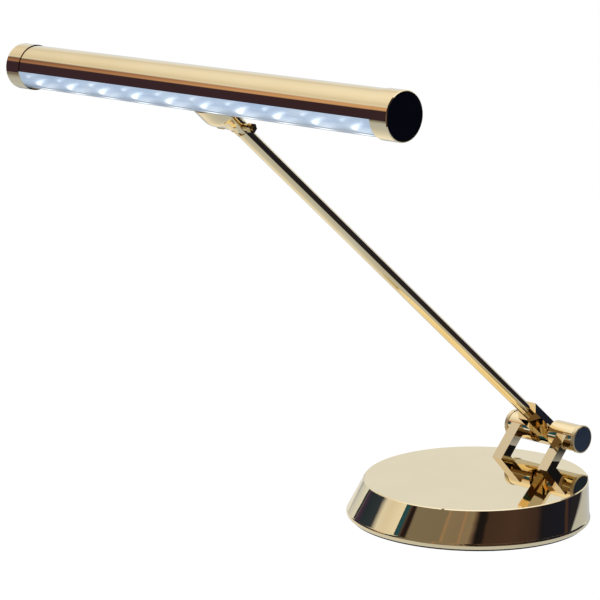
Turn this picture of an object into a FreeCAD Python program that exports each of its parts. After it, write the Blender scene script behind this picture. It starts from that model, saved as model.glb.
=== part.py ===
import FreeCAD, Part
import Sketcher
import math
import os

# Adjustable piano lamp: a heavy round base with a sloping wall, two leaning
# square bars that carry a short cross tube, a straight arm that swings in the
# cross tube, and a long tubular head with a clear front, tilting on a cross
# screw at the arm's end.
#
# Frame: millimetres, +Z up, origin at the centre of the base's underside.
# +X runs along the head and the cross tube, -Y is the side the head hangs over.

V = FreeCAD.Vector
doc = FreeCAD.newDocument("piano_lamp")

# ---------------------------------------------------------------- dimensions
ELEV = 39.23                     # rest elevation of the arm, degrees
HEAD_ELEV = 39.1                 # elevation of the head axis as seen from the pivot
ARM = 395.0                      # pivot axis to head axis, along the arm
PIV_Y, PIV_Z = 76.0, 44.4        # pivot axis
CE, SE = math.cos(math.radians(ELEV)), math.sin(math.radians(ELEV))

dims = {
    # base
    "pad_radius": 76.0, "pad_thick": 1.0,
    "shell_bottom": 1.0, "lip_ring_radius": 76.2, "lip_bead": 2.5, "lip_mid": 3.5,
    "wall_foot_radius": 78.1, "wall_foot_level": 5.2,
    "top_radius": 72.6, "top_shift": 6.6, "top_level": 25.4, "top_slope": 1.8,
    "rim_level": 24.9, "rim_radius": 72.05,
    "cover_radius": 68.0, "cover_seat_radius": 68.2, "cover_thick": 1.5, "cover_top": 2.5,
    "recess_radius": 65.0, "recess_roof": 17.5, "recess_depth": 15.0,
    "weight_radius": 64.6,
    "cover_screw_pitch": 56.0, "cover_screw_head": 3.2, "cover_screw_shank": 1.6,
    "cover_screw_length": 9.0, "cover_screw_tip": 2.0,
    # cord gland in the rear wall
    "gland_level": 12.0, "gland_body": 5.0, "gland_flange": 6.6, "gland_face": 77.6,
    "gland_flange_thick": 1.5, "gland_inner": 63.5, "gland_hole": 2.6, "spot_radius": 7.0,
    # leaning bars
    "bar_width": 8.0, "bar_depth": 7.0, "bar_length": 36.0, "bar_offset": 20.0,
    "bar_foot_y": 48.5, "bar_lean": 48.6, "bar_sink": 4.0,
    "bar_screw_y": 54.8, "bar_screw_shank": 1.5, "bar_screw_head": 3.0,
    "bar_screw_head_thick": 2.5, "bar_screw_length": 13.0,
    # cross tube
    "pivot_y": PIV_Y, "pivot_z": PIV_Z,
    "pivot_tube_radius": 8.9, "pivot_tube_bore": 7.2, "pivot_tube_half": 27.6,
    "slot_half": 7.8,
    "ring_radius": 9.25, "ring_seat": 8.3, "ring_length": 2.8, "ring_web": 1.0,
    "plug_stem": 7.15, "plug_stem_length": 3.4, "plug_thick": 1.6,
    "bush_length": 14.2, "axle_radius": 2.5, "axle_half": 23.8,
    "axle_head_radius": 4.5, "axle_head_thick": 1.8,
    # arm
    "hub_flat": 6.5, "hub_corner": 7.5056, "hub_low": 2.0, "hub_high": 27.4,
    "hub_length": 29.4,
    "knuckle_radius": 6.2, "knuckle_half": 7.0, "hub_axle_hole": 2.55,
    "rod_radius": 4.1, "rod_bore": 2.9, "rod_seat": 14.0, "rod_top": 352.7,
    "rod_length": 338.7, "hub_socket_depth": 13.4,
    "setscrew_radius": 1.25, "setscrew_length": 2.3, "setscrew_at": 19.0,
    "wire_radius": 1.2, "wire_start": 16.0, "wire_length": 320.0,
    "tongue_thick": 3.4, "tongue_half": 3.9, "tongue_shank_length": 10.0,
    "tongue_rise": 4.3, "tilt_hole": 1.56,
    # head, distances from the head axis down the arm line
    "tilt_drop": 38.0, "ear_radius": 4.0, "ear_flat_top": 3.2, "fork_half": 1.9,
    "fork_top": 4.2, "neck_radius": 5.2, "neck_low": 42.0, "neck_straight": 36.0,
    "neck_mid_radius": 8.2, "neck_mid": 27.8, "neck_bell_radius": 11.0,
    "neck_bell": 22.3, "neck_rim_radius": 11.5, "neck_rim": 14.0, "neck_end": 5.0,
    "neck_bore": 1.6,
    "screw_radius": 1.5, "screw_left": 16.4, "screw_length": 30.2,
    "knob_radius": 3.1, "knob_collar": 2.0, "knob_outer": 16.8, "knob_inner": 11.6,
    "knob_face": 5.7, "knob_notch": 0.35,
    "nut_flat": 2.6, "nut_inner": 9.6, "nut_outer": 12.8, "nut_collar": 2.0, "nut_face": 5.7,
    "shade_radius": 13.25, "shade_bore": 12.65, "shade_half": 158.5,
    "window_half": 153.0, "window_top": -7.0, "window_bottom": -125.0,
    "clear_radius": 12.55, "clear_bore": 11.4, "clear_half": 158.2,
    "cap_radius": 13.7, "cap_start": 149.7, "cap_end": 162.2, "cap_seat": 12.9,
    "cap_web_in": 158.5, "cap_web_out": 160.0, "cap_web_bore": 10.8, "cap_edge": 0.45,
    "disc_radius": 12.85, "disc_thick": 1.9,
    "led_normal": -66.0, "sink_gap": 4.0, "sink_radius": 11.3, "sink_half": 150.0,
    "board_width": 14.0, "board_thick": 1.2, "led_size": 3.0, "led_thick": 0.8,
    "led_pitch": 30.0,
    "liner_outer": 11.35, "liner_inner": 10.75, "liner_from": -128.0, "liner_to": -175.0,
    "liner_half": 142.5,
    "holder_radius": 11.3, "holder_bore": 4.0, "holder_in": 150.5, "holder_out": 158.2,
    "seal_radius": 11.35, "seal_bore": 9.9, "seal_in": 143.0, "seal_out": 145.4,
}
sheet = doc.addObject("Spreadsheet::Sheet", "dims")
for row, key in enumerate(sorted(dims), 1):
    sheet.set("A%d" % row, key)
    sheet.set("B%d" % row, "%.6f" % dims[key])
    sheet.setAlias("B%d" % row, key)
doc.recompute()


def val(a):
    if isinstance(a, str):
        return -dims[a[1:]] if a.startswith("-") else dims[a]
    return float(a)


def ref(a):
    return "-<<dims>>." + a[1:] if a.startswith("-") else "<<dims>>." + a


def bind(obj, prop, a):
    if isinstance(a, str):
        obj.setExpression(prop, ref(a))
    else:
        setattr(obj, prop, a)


# ------------------------------------------------------------------- helpers
def place(obj, x=0.0, y=0.0, z=0.0, axis=V(1, 0, 0), angle=0.0):
    obj.Placement = FreeCAD.Placement(V(val(x), val(y), val(z)),
                                      FreeCAD.Rotation(axis, val(angle)))
    for name, a in (("x", x), ("y", y), ("z", z)):
        if isinstance(a, str):
            obj.setExpression("Placement.Base." + name, ref(a))
    return obj


def cyl(name, radius, height, x=0.0, y=0.0, z=0.0, axis=V(1, 0, 0), angle=0.0):
    o = doc.addObject("Part::Cylinder", name)
    o.Label = name
    bind(o, "Radius", radius)
    bind(o, "Height", height)
    return place(o, x, y, z, axis, angle)


def xcyl(name, radius, length, x=0.0, y=0.0, z=0.0):
    """Cylinder along +X that starts at x."""
    return cyl(name, radius, length, x, y, z, V(0, 1, 0), 90.0)


def block(name, lx, ly, lz, x=0.0, y=0.0, z=0.0):
    o = doc.addObject("Part::Box", name)
    o.Label = name
    bind(o, "Length", lx)
    bind(o, "Width", ly)
    bind(o, "Height", lz)
    return place(o, x, y, z)


def cut(name, base, tool):
    o = doc.addObject("Part::Cut", name)
    o.Label = name
    o.Base, o.Tool = base, tool
    return o


def fuse(name, *shapes):
    o = doc.addObject("Part::MultiFuse", name)
    o.Label = name
    o.Shapes = list(shapes)
    return o


def common(name, *shapes):
    o = doc.addObject("Part::MultiCommon", name)
    o.Label = name
    o.Shapes = list(shapes)
    return o


def group(name, *shapes):
    o = doc.addObject("Part::Compound", name)
    o.Label = name
    o.Links = list(shapes)
    return o


def body(name):
    b = doc.addObject("PartDesign::Body", name)
    b.Label = name
    return b


def plane(b, role):
    for f in b.Origin.OriginFeatures:
        if f.Role == role:
            return f


def sketch(b, role, dx=0.0, dy=0.0, dz=0.0, tilt=0.0):
    """Sketch on one of the body's own origin planes, moved along that plane."""
    s = b.newObject("Sketcher::SketchObject", b.Name + "_sketch")
    s.AttachmentSupport = [(plane(b, role), "")]
    s.MapMode = "FlatFace"
    s.AttachmentOffset = FreeCAD.Placement(V(val(dx), val(dy), val(dz)),
                                           FreeCAD.Rotation(V(1, 0, 0), val(tilt)))
    for n, a in (("x", dx), ("y", dy), ("z", dz)):
        if isinstance(a, str):
            s.setExpression("AttachmentOffset.Base." + n, ref(a))
    return s


def constrain(s, kind, geo, pos, a):
    v = val(a)
    if abs(v) < 1e-9:
        s.addConstraint(Sketcher.Constraint("PointOnObject", geo, pos,
                                            -2 if kind == "DistanceX" else -1))
        return
    if v > 0:
        i = s.addConstraint(Sketcher.Constraint(kind, -1, 1, geo, pos, v))
    else:
        i = s.addConstraint(Sketcher.Constraint(kind, geo, pos, -1, 1, -v))
    if isinstance(a, str):
        s.setExpression("Constraints[%d]" % i, "abs(" + ref(a) + ")")


def ring_of(s, radius, x=0.0, y=0.0):
    g = s.addGeometry(Part.Circle(V(val(x), val(y), 0), V(0, 0, 1), val(radius)), False)
    if val(x) == 0 and val(y) == 0:
        s.addConstraint(Sketcher.Constraint("Coincident", g, 3, -1, 1))
    else:
        constrain(s, "DistanceX", g, 3, x)
        constrain(s, "DistanceY", g, 3, y)
    i = s.addConstraint(Sketcher.Constraint("Radius", g, val(radius)))
    if isinstance(radius, str):
        s.setExpression("Constraints[%d]" % i, ref(radius))
    return g


def outline(s, pts):
    """Closed polygon; each corner is held by its two coordinates."""
    n = len(pts)
    vs = [V(val(a), val(b), 0) for a, b in pts]
    gs = [s.addGeometry(Part.LineSegment(vs[i], vs[(i + 1) % n]), False) for i in range(n)]
    for i in range(n):
        s.addConstraint(Sketcher.Constraint("Coincident", gs[i], 2, gs[(i + 1) % n], 1))
    for i in range(n):
        constrain(s, "DistanceX", gs[i], 1, pts[i][0])
        constrain(s, "DistanceY", gs[i], 1, pts[i][1])
    return gs


def pad(b, s, length, mid=False, back=False):
    p = b.newObject("PartDesign::Pad", b.Name + "_pad")
    p.Profile = s
    bind(p, "Length", length)
    if mid:
        p.Midplane = True
    if back:
        p.Reversed = True
    return p


def pocket(b, s, length=None, mid=False, back=False):
    p = b.newObject("PartDesign::Pocket", b.Name + "_pocket")
    p.Profile = s
    if length is None:
        p.Type = 1
    else:
        bind(p, "Length", length)
    if mid:
        p.Midplane = True
    if back:
        p.Reversed = True
    return p


def turn(b, s, axis_role="V_Axis"):
    r = b.newObject("PartDesign::Revolution", b.Name + "_turn")
    r.Profile = s
    r.ReferenceAxis = (s, [axis_role])
    r.Angle = 360.0
    return r


def drop(expected_less, before, after, what):
    """The pocket has to take material away."""
    if not after < before - expected_less:
        raise RuntimeError(what + " took nothing away")


NODES = {}


def keep(obj, name):
    obj.Label = name
    NODES[name] = obj
    return obj


# ---------------------------------------------------------------------- base
# Felt pad under the base.
keep(cyl("pad_solid", "pad_radius", "pad_thick"), "base_pad")

# Cast shell: an oblique cone whose top is shifted to the rear and rises
# slightly, standing on a rounded bead, hollow below for the weight.
shell = body("base_shell")
s_low = sketch(shell, "XY_Plane", 0.0, 0.0, "wall_foot_level")
ring_of(s_low, "wall_foot_radius")
s_edge = sketch(shell, "XY_Plane", 0.0, "top_shift", "rim_level", "top_slope")
ring_of(s_edge, "top_radius")
s_top = sketch(shell, "XY_Plane", 0.0, "top_shift", "top_level", "top_slope")
ring_of(s_top, "rim_radius")
cone = shell.newObject("PartDesign::AdditiveLoft", "shell_wall")
cone.Profile = s_low
cone.Sections = [s_edge, s_top]
cone.Ruled = True
doc.recompute()
v_cone = cone.Shape.Volume
# bead: foot of the wall, half-round outside
s_lip = sketch(shell, "XZ_Plane")
lb, lr, lm = dims["lip_bead"], dims["lip_ring_radius"], dims["lip_mid"]
a0 = s_lip.addGeometry(Part.LineSegment(V(0, dims["shell_bottom"], 0), V(lr, lm - lb, 0)), False)
a1 = s_lip.addGeometry(Part.ArcOfCircle(Part.Circle(V(lr, lm, 0), V(0, 0, 1), lb),
                                        -math.pi / 2, math.pi / 2), False)
a2 = s_lip.addGeometry(Part.LineSegment(V(lr, lm + lb, 0), V(0, lm + lb, 0)), False)
a3 = s_lip.addGeometry(Part.LineSegment(V(0, lm + lb, 0), V(0, dims["shell_bottom"], 0)), False)
s_lip.addConstraint(Sketcher.Constraint("Coincident", a0, 2, a1, 1))
s_lip.addConstraint(Sketcher.Constraint("Coincident", a1, 2, a2, 1))
s_lip.addConstraint(Sketcher.Constraint("Coincident", a2, 2, a3, 1))
s_lip.addConstraint(Sketcher.Constraint("Coincident", a3, 2, a0, 1))
s_lip.addConstraint(Sketcher.Constraint("Horizontal", a0))
s_lip.addConstraint(Sketcher.Constraint("Horizontal", a2))
s_lip.addConstraint(Sketcher.Constraint("PointOnObject", a3, 1, -2))
s_lip.addConstraint(Sketcher.Constraint("PointOnObject", a3, 2, -2))
constrain(s_lip, "DistanceX", a1, 3, "lip_ring_radius")
constrain(s_lip, "DistanceY", a1, 3, "lip_mid")
i = s_lip.addConstraint(Sketcher.Constraint("Radius", a1, lb))
s_lip.setExpression("Constraints[%d]" % i, ref("lip_bead"))
s_lip.addConstraint(Sketcher.Constraint("Vertical", a1, 1, a1, 2))
turn(shell, s_lip)
doc.recompute()
v_lip = shell.Shape.Volume
if not v_lip > v_cone:
    raise RuntimeError("the bead added nothing")
# seat for the bottom cover, then the recess for the weight
s_seat = sketch(shell, "XY_Plane", 0.0, 0.0, "shell_bottom")
ring_of(s_seat, "cover_seat_radius")
pocket(shell, s_seat, "cover_thick", back=True)
doc.recompute()
v_seat = shell.Shape.Volume
drop(15000, v_lip, v_seat, "cover seat")
s_rec = sketch(shell, "XY_Plane", 0.0, 0.0, "cover_top")
ring_of(s_rec, "recess_radius")
pocket(shell, s_rec, "recess_depth", back=True)
doc.recompute()
v_rec = shell.Shape.Volume
drop(150000, v_seat, v_rec, "weight recess")
# screw holes under the two bars
s_hole = sketch(shell, "XY_Plane", 0.0, 0.0, "recess_roof")
ring_of(s_hole, "bar_screw_shank", "bar_offset", "bar_screw_y")
ring_of(s_hole, "bar_screw_shank", "-bar_offset", "bar_screw_y")
pocket(shell, s_hole, 15.0, back=True)
doc.recompute()
v_hole = shell.Shape.Volume
drop(80, v_rec, v_hole, "bar screw holes")
# rear hole and spot face for the cord gland
s_gl = sketch(shell, "XZ_Plane", 0.0, 0.0, -60.0)
ring_of(s_gl, "gland_body", 0.0, "gland_level")
pocket(shell, s_gl, 30.0)
doc.recompute()
if not shell.Shape.Volume < v_hole - 500:
    raise RuntimeError("gland hole took nothing away")
v_gl = shell.Shape.Volume
s_sp = sketch(shell, "XZ_Plane", 0.0, 0.0, -77.6)
s_sp.setExpression("AttachmentOffset.Base.z", ref("-gland_face"))
ring_of(s_sp, "spot_radius", 0.0, "gland_level")
pocket(shell, s_sp, 10.0)
doc.recompute()
if not shell.Shape.Volume < v_gl - 20:
    raise RuntimeError("spot face took nothing away")
keep(shell, "base_shell")

# Cast-iron weight with room for the bar screws and the gland.
weight = body("base_weight")
s_w = sketch(weight, "XY_Plane", 0.0, 0.0, "cover_top")
ring_of(s_w, "weight_radius")
pad(weight, s_w, "recess_depth")
doc.recompute()
v_w = weight.Shape.Volume
s_wh = sketch(weight, "XY_Plane", 0.0, 0.0, "cover_top")
ring_of(s_wh, 4.5, "bar_offset", "bar_screw_y")
ring_of(s_wh, 4.5, "-bar_offset", "bar_screw_y")
pocket(weight, s_wh, "recess_depth", back=True)
s_wn = sketch(weight, "XY_Plane", 0.0, 0.0, "cover_top")
outline(s_wn, [(-9.0, 44.0), (9.0, 44.0), (9.0, 70.0), (-9.0, 70.0)])
pocket(weight, s_wn, "recess_depth", back=True)
s_ws = sketch(weight, "XY_Plane", 0.0, 0.0, "cover_top")
for sx, sy in (("cover_screw_pitch", 0.0), ("-cover_screw_pitch", 0.0),
               (0.0, "-cover_screw_pitch")):
    ring_of(s_ws, "cover_screw_shank", sx, sy)
ring_of(s_ws, "cover_screw_shank", 0.0, 36.0)
pocket(weight, s_ws, "cover_screw_length", back=True)
doc.recompute()
drop(5000, v_w, weight.Shape.Volume, "weight pockets")
keep(weight, "base_weight")

# Steel bottom cover with four countersunk screws.
cover = body("base_cover")
s_c = sketch(cover, "XY_Plane", 0.0, 0.0, "shell_bottom")
ring_of(s_c, "cover_radius")
pad(cover, s_c, "cover_thick")
doc.recompute()
v_c = cover.Shape.Volume
screw_spots = [("cover_screw_pitch", 0.0), ("-cover_screw_pitch", 0.0),
               (0.0, "-cover_screw_pitch"), (0.0, 36.0)]


def sunk_screw(name, x, y, grow=0.0):
    head = doc.addObject("Part::Cone", name + "_head")
    bind(head, "Radius1", "cover_screw_head")
    bind(head, "Radius2", "cover_screw_shank")
    bind(head, "Height", "cover_thick")
    place(head, x, y, "shell_bottom")
    shank = cyl(name + "_shank", "cover_screw_shank", "cover_screw_length", x, y, "cover_top")
    return fuse(name, head, shank)


plain_cover = keep(cover, "base_cover_blank")
NODES.pop("base_cover_blank")
head_tools = []
for k, (sx, sy) in enumerate(screw_spots):
    head_tools.append(sunk_screw("cover_tool_%d" % k, sx, sy))
keep(cut("base_cover_cut", cover, fuse("cover_tools", *head_tools)), "base_cover")
screws = [sunk_screw("cover_screw_%d" % k, sx, sy) for k, (sx, sy) in enumerate(screw_spots)]
keep(group("cover_screw_group", *screws), "cover_screws")

# Rubber gland in the rear wall, with its open hole.
g_body = cyl("gland_barrel", "gland_body", 14.1, 0.0, "gland_inner", "gland_level", V(1, 0, 0), -90.0)
g_flange = cyl("gland_rim", "gland_flange", "gland_flange_thick", 0.0, "gland_face", "gland_level",
               V(1, 0, 0), -90.0)
g_hole = cyl("gland_through", "gland_hole", 30.0, 0.0, 55.0, "gland_level", V(1, 0, 0), -90.0)
keep(cut("gland_cut", fuse("gland_solid", g_body, g_flange), g_hole), "cord_gland")

# -------------------------------------------------------------- leaning bars
slope = dims["top_slope"]
ts = math.radians(slope)


def top_plane_block(name):
    """Big block whose upper face lies in the plane of the base's top."""
    o = block(name, 200.0, 200.0, 40.0)
    up = V(0, -math.sin(ts), math.cos(ts))
    along = V(0, math.cos(ts), math.sin(ts))
    corner = V(-100, dims["top_shift"], dims["top_level"]) - along * 100 - up * 40
    o.Placement = FreeCAD.Placement(corner, FreeCAD.Rotation(V(1, 0, 0), slope))
    return o


lean = dims["bar_lean"]
lr_ = math.radians(lean)
foot_z = dims["top_level"] + math.tan(ts) * (dims["bar_foot_y"] - dims["top_shift"])


def bar(side, sign):
    b = body("bar_%s_blank" % side)
    s = sketch(b, "XY_Plane")
    outline(s, [(-4.0, 0.0), (4.0, 0.0), (4.0, "bar_depth"), (-4.0, "bar_depth")])
    pad(b, s, "bar_length")
    # local Z up the bar, local +Y to its rear face; the front lower edge starts
    # a little below the base's top and the plane of the top trims it
    up = V(0, math.cos(lr_), math.sin(lr_))
    start = V(sign * dims["bar_offset"], dims["bar_foot_y"], foot_z) - up * dims["bar_sink"] * 2
    b.Placement = FreeCAD.Placement(start, FreeCAD.Rotation(V(1, 0, 0), lean - 90.0))
    return b


def tube_tool(name):
    return xcyl(name, "pivot_tube_radius", 120.0, -60.0, "pivot_y", "pivot_z")


for side, sign in (("left", -1.0), ("right", 1.0)):
    b = bar(side, sign)
    t = fuse("bar_%s_tools" % side, top_plane_block("bar_%s_floor" % side), tube_tool("bar_%s_tube" % side),
             cyl("bar_%s_screw_hole" % side, "bar_screw_shank", "bar_screw_length",
                 "bar_offset" if sign > 0 else "-bar_offset", "bar_screw_y", "recess_roof"))
    keep(cut("bar_%s_cut" % side, b, t), "bracket_bar_%s" % side)

bar_screws = []
for side, off in (("left", "-bar_offset"), ("right", "bar_offset")):
    sh = cyl("bar_screw_%s_shank" % side, "bar_screw_shank", "bar_screw_length", off, "bar_screw_y", "recess_roof")
    hd = cyl("bar_screw_%s_head" % side, "bar_screw_head", "bar_screw_head_thick", off, "bar_screw_y",
             dims["recess_roof"] - dims["bar_screw_head_thick"])
    bar_screws.append(fuse("bar_screw_%s" % side, sh, hd))
keep(group("bar_screw_group", *bar_screws), "bracket_screws")

# ---------------------------------------------------------------- cross tube
# Tube with a slot between the bars, open upward and forward for the arm.
tube = body("pivot_tube")
s_t = sketch(tube, "YZ_Plane")
ring_of(s_t, "pivot_tube_radius")
ring_of(s_t, "pivot_tube_bore")
pad(tube, s_t, 2 * dims["pivot_tube_half"], mid=True)
doc.recompute()
v_t = tube.Shape.Volume
s_s = sketch(tube, "YZ_Plane")
SLOT_FROM, SLOT_TO = -58.0, 151.0


def ray(deg, r):
    return (-r * math.cos(math.radians(deg)), r * math.sin(math.radians(deg)))


outline(s_s, [(0.0, 0.0), ray(SLOT_FROM, 14), ray(-20, 20), ray(20, 20), ray(60, 20), ray(100, 20),
              ray(130, 18), ray(SLOT_TO, 14)])
pocket(tube, s_s, 2 * dims["slot_half"], mid=True)
doc.recompute()
drop(600, v_t, tube.Shape.Volume, "arm slot")
place(tube, 0.0, "pivot_y", "pivot_z")
keep(tube, "pivot_tube")


def end_ring(name, sign):
    """Collar at one end of the cross tube: outer chamfer, seat for the plug."""
    b = body(name)
    s = sketch(b, "XY_Plane")
    x0 = dims["pivot_tube_half"]
    x1 = x0 + dims["ring_length"]
    xw = x0 + dims["ring_web"]
    c = 0.35
    pts = [(x0, dims["pivot_tube_bore"]), (x0, dims["ring_radius"]), (x1 - c, dims["ring_radius"]),
           (x1, dims["ring_radius"] - c), (x1, dims["ring_seat"]), (xw, dims["ring_seat"]),
           (xw, dims["pivot_tube_bore"])]
    if sign < 0:
        pts = [(-x, y) for x, y in pts]
    outline(s, pts)
    turn(b, s, "H_Axis")
    place(b, 0.0, "pivot_y", "pivot_z")
    return keep(b, name)


end_ring("pivot_ring_left", -1)
end_ring("pivot_ring_right", 1)

for side, sign in (("left", -1), ("right", 1)):
    x0 = dims["pivot_tube_half"]
    xw = x0 + dims["ring_web"]
    disc = xcyl("plug_%s_disc" % side, 8.25, "plug_thick",
                xw if sign > 0 else -xw - dims["plug_thick"], "pivot_y", "pivot_z")
    stem = xcyl("plug_%s_stem" % side, "plug_stem", "plug_stem_length",
                xw - dims["plug_stem_length"] if sign > 0 else -xw, "pivot_y", "pivot_z")
    keep(fuse("plug_%s" % side, disc, stem), "pivot_plug_%s" % side)
    x1 = dims["slot_half"] if sign > 0 else -dims["slot_half"] - dims["bush_length"]
    bush = cut("bush_%s_cut" % side,
               xcyl("bush_%s_solid" % side, 7.2, "bush_length", x1, "pivot_y", "pivot_z"),
               xcyl("bush_%s_hole" % side, "axle_radius", 40.0, x1 - 10, "pivot_y", "pivot_z"))
    keep(bush, "pivot_bush_%s" % side)

axle = xcyl("axle_shaft", "axle_radius", 2 * dims["axle_half"], -dims["axle_half"], "pivot_y", "pivot_z")
axle_head = xcyl("axle_head", "axle_head_radius", "axle_head_thick", -dims["axle_half"], "pivot_y", "pivot_z")
keep(fuse("axle_solid", axle, axle_head), "pivot_axle")

nut = doc.addObject("Part::Prism", "nut_blank")
nut.Polygon = 6
nut.Circumradius = 4.9
bind(nut, "Height", "axle_head_thick")
place(nut, 22.0, "pivot_y", "pivot_z", V(0, 1, 0), 90.0)
keep(cut("nut_cut", nut, xcyl("nut_hole", "axle_radius", 10.0, 18.0, "pivot_y", "pivot_z")), "pivot_nut")

# ----------------------------------------------------------------------- arm
# All arm pieces are drawn with local +Z along the arm, then turned about X.
ARM_ROT = FreeCAD.Rotation(V(1, 0, 0), 90.0 - ELEV)
PIVOT = V(0, PIV_Y, PIV_Z)
ARM_PL = FreeCAD.Placement(PIVOT, ARM_ROT)

hub = body("arm_hub")
s_h = sketch(hub, "XY_Plane", 0.0, 0.0, "-hub_low")
hc, hf = "hub_corner", "hub_flat"
half = dims["hub_corner"] / 2
outline(s_h, [("hub_corner", 0.0), (half, "hub_flat"), (-half, "hub_flat"), ("-hub_corner", 0.0),
              (-half, "-hub_flat"), (half, "-hub_flat")])
pad(hub, s_h, "hub_length")
doc.recompute()
s_k = sketch(hub, "YZ_Plane")
ring_of(s_k, "knuckle_radius")
pad(hub, s_k, 2 * dims["knuckle_half"], mid=True)
doc.recompute()
v_h = hub.Shape.Volume
s_a = sketch(hub, "YZ_Plane")
ring_of(s_a, "hub_axle_hole")
pocket(hub, s_a, 30.0, mid=True)
doc.recompute()
drop(150, v_h, hub.Shape.Volume, "axle hole")
v_h = hub.Shape.Volume
s_b = sketch(hub, "XY_Plane", 0.0, 0.0, "hub_high")
ring_of(s_b, "rod_radius")
pocket(hub, s_b, "hub_socket_depth")
doc.recompute()
drop(300, v_h, hub.Shape.Volume, "rod socket")
v_h = hub.Shape.Volume
s_ss = sketch(hub, "XZ_Plane")
ring_of(s_ss, "setscrew_radius", 0.0, "setscrew_at")
pocket(hub, s_ss, 10.0)
doc.recompute()
drop(5, v_h, hub.Shape.Volume, "set screw hole")
hub.Placement = ARM_PL
keep(hub, "arm_hub")

ss = cyl("setscrew_solid", "setscrew_radius", "setscrew_length", 0.0, 4.1, "setscrew_at", V(1, 0, 0), -90.0)
hexkey = doc.addObject("Part::Prism", "setscrew_socket")
hexkey.Polygon = 6
hexkey.Circumradius = 0.75
hexkey.Height = 3.0
place(hexkey, 0.0, 5.4, "setscrew_at", V(1, 0, 0), -90.0)
o = cut("setscrew_cut", ss, hexkey)
o.Placement = ARM_PL
keep(o, "hub_setscrew")

rod = body("arm_rod")
s_r = sketch(rod, "XY_Plane", 0.0, 0.0, "rod_seat")
ring_of(s_r, "rod_radius")
ring_of(s_r, "rod_bore")
pad(rod, s_r, "rod_length")
rod.Placement = ARM_PL
keep(rod, "arm_rod")

w = cyl("wire_solid", "wire_radius", "wire_length")
w.Placement = FreeCAD.Placement(PIVOT + ARM_ROT.multVec(V(0, 0, dims["wire_start"])), ARM_ROT)
keep(w, "arm_wire")

# Tongue at the arm's upper end: a shank in the rod and a round-ended blade.
T = ARM - dims["tilt_drop"]      # tilt axis, along the arm
tg_shank = cyl("tongue_shank", "rod_bore", "tongue_shank_length", 0.0, 0.0,
               dims["rod_top"] - dims["tongue_shank_length"])
tg_blade = block("tongue_blade", "tongue_thick", 2 * dims["tongue_half"], "tongue_rise",
                 -dims["tongue_thick"] / 2, -dims["tongue_half"], "rod_top")
tg_round = xcyl("tongue_round", "tongue_half", "tongue_thick", -dims["tongue_thick"] / 2, 0.0, T)
tg_hole = xcyl("tongue_hole", "tilt_hole", 20.0, -10.0, 0.0, T)
tg = cut("tongue_cut", fuse("tongue_solid", tg_shank, tg_blade, tg_round), tg_hole)
tg.Placement = ARM_PL
keep(tg, "arm_tongue")

# ---------------------------------------------------------------------- head
# The head axis lies a little under the arm line.
he = math.radians(HEAD_ELEV)
HEAD = PIVOT + V(0, -ARM * math.cos(he), ARM * math.sin(he))
NECK = PIVOT + ARM_ROT.multVec(V(0, 0, ARM))
NECK_PL = FreeCAD.Placement(NECK, ARM_ROT)
saddle_y = ARM_ROT.inverted().multVec(HEAD - NECK).y
TILT = -dims["tilt_drop"]

# Bell-shaped neck turned about the arm line, its top shaped to the head tube,
# its lower end forked for the tongue.
neck = body("neck_blank")
s_n = sketch(neck, "XZ_Plane")
zl = -dims["neck_low"]
n0 = s_n.addGeometry(Part.LineSegment(V(0, zl, 0), V(dims["neck_radius"], zl, 0)), False)
n1 = s_n.addGeometry(Part.LineSegment(V(dims["neck_radius"], zl, 0),
                                      V(dims["neck_radius"], -dims["neck_straight"], 0)), False)
sp = Part.BSplineCurve()
sp.interpolate([V(dims["neck_radius"], -dims["neck_straight"], 0),
                V(dims["neck_mid_radius"], -dims["neck_mid"], 0),
                V(dims["neck_bell_radius"], -dims["neck_bell"], 0),
                V(dims["neck_rim_radius"], -dims["neck_rim"], 0)],
               InitialTangent=V(0.2, 1, 0), FinalTangent=V(0.0, 1, 0))
n2 = s_n.addGeometry(sp, False)
n3 = s_n.addGeometry(Part.LineSegment(V(dims["neck_rim_radius"], -dims["neck_rim"], 0),
                                      V(dims["neck_rim_radius"], -dims["neck_end"], 0)), False)
n4 = s_n.addGeometry(Part.LineSegment(V(dims["neck_rim_radius"], -dims["neck_end"], 0),
                                      V(0, -dims["neck_end"], 0)), False)
n5 = s_n.addGeometry(Part.LineSegment(V(0, -dims["neck_end"], 0), V(0, zl, 0)), False)
for g in (n0, n1, n3, n4, n5):
    s_n.addConstraint(Sketcher.Constraint("Block", g))
s_n.addConstraint(Sketcher.Constraint("Block", n2))
turn(neck, s_n)
tube_saddle = xcyl("neck_saddle", "shade_radius", 80.0, -40.0, saddle_y, 0.0)
fork = block("neck_fork", 2 * dims["fork_half"], 40.0, 14.0, -dims["fork_half"], -20.0,
             TILT + dims["fork_top"] - 14.0)
bore = cyl("neck_wire_bore", "neck_bore", 60.0, 0.0, 0.0, -55.0)
holes = xcyl("neck_screw_hole", "tilt_hole", 60.0, -30.0, 0.0, TILT)
# ears: rounded about the screw, flat at the sides
ear_box = block("ear_box", 30.0, 30.0, 20.0, -15.0, -15.0, TILT + dims["ear_flat_top"] - 20.0)
ear_cyl = xcyl("ear_round", "ear_radius", 40.0, -20.0, 0.0, TILT)
ear_flat = block("ear_flat", 40.0, 2 * dims["ear_radius"], dims["ear_flat_top"] + 5.0, -20.0,
                 -dims["ear_radius"], TILT)
ear_tool = cut("ear_tool", ear_box, fuse("ear_keep", ear_cyl, ear_flat))
nk = cut("neck_cut", neck, fuse("neck_tools", tube_saddle, fork, bore, holes, ear_tool))
nk.Placement = NECK_PL
keep(nk, "head_neck")

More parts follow.
